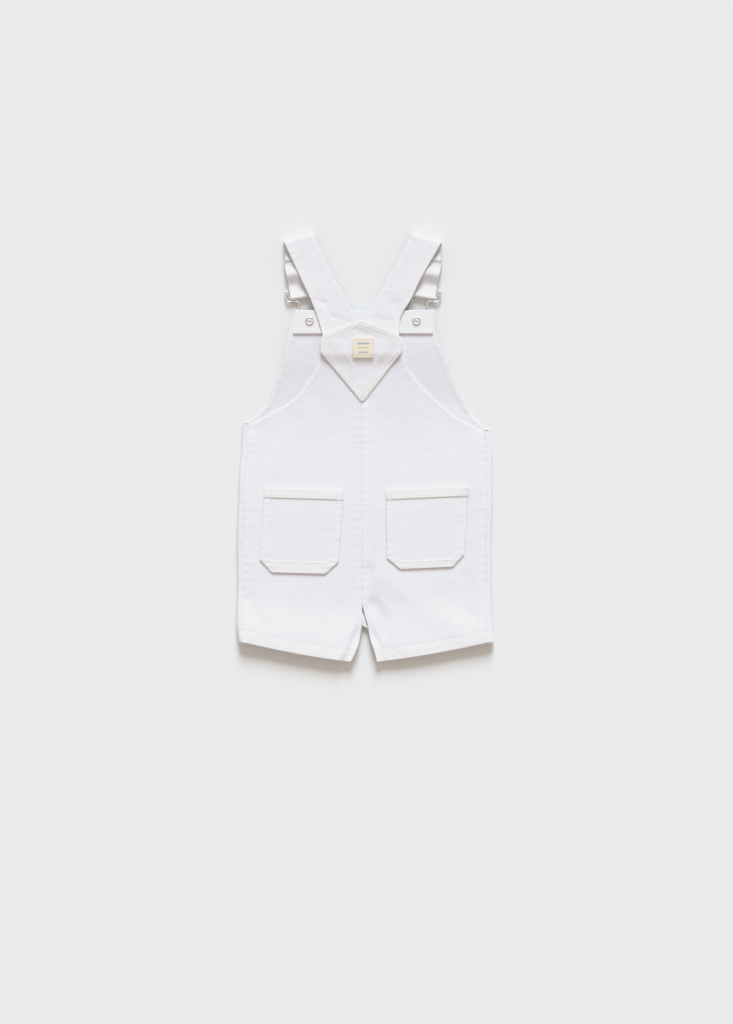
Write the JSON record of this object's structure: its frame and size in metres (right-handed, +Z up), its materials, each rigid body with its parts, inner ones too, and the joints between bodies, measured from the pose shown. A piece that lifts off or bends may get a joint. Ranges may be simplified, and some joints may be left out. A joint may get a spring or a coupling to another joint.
{
  "type": "shortalls",
  "caption": "Short-legged dungarees laid flat with the back up, with patch pockets, a diamond patch and folded straps hooked to the bib.",
  "frame": {"origin": "middle of the garment's outline, on the surface that it lies on", "axes": "+X to the right and +Y up the garment from the hems to the shoulders, as it is seen from above with its back up; +Z up off the surface"},
  "size_m": [0.2703, 0.4508, 0.0108],
  "materials": {
    "denim": "matte white cotton denim",
    "label": "matte woven cream tape",
    "steel": "polished nickel"
  },
  "bodies": {
    "root": {"back_left": "denim", "back_right": "denim", "front_left": "denim", "front_right": "denim", "bib_facing": "denim", "back_patch": "denim", "label": "label", "back_pocket_left": "denim", "back_pocket_right": "denim", "strap_left": "denim", "strap_right": "denim", "slider_left": "steel", "slider_right": "steel", "clip_left": "steel", "clip_right": "steel", "button_left": "steel", "button_right": "steel"}
  },
  "joints": []
}
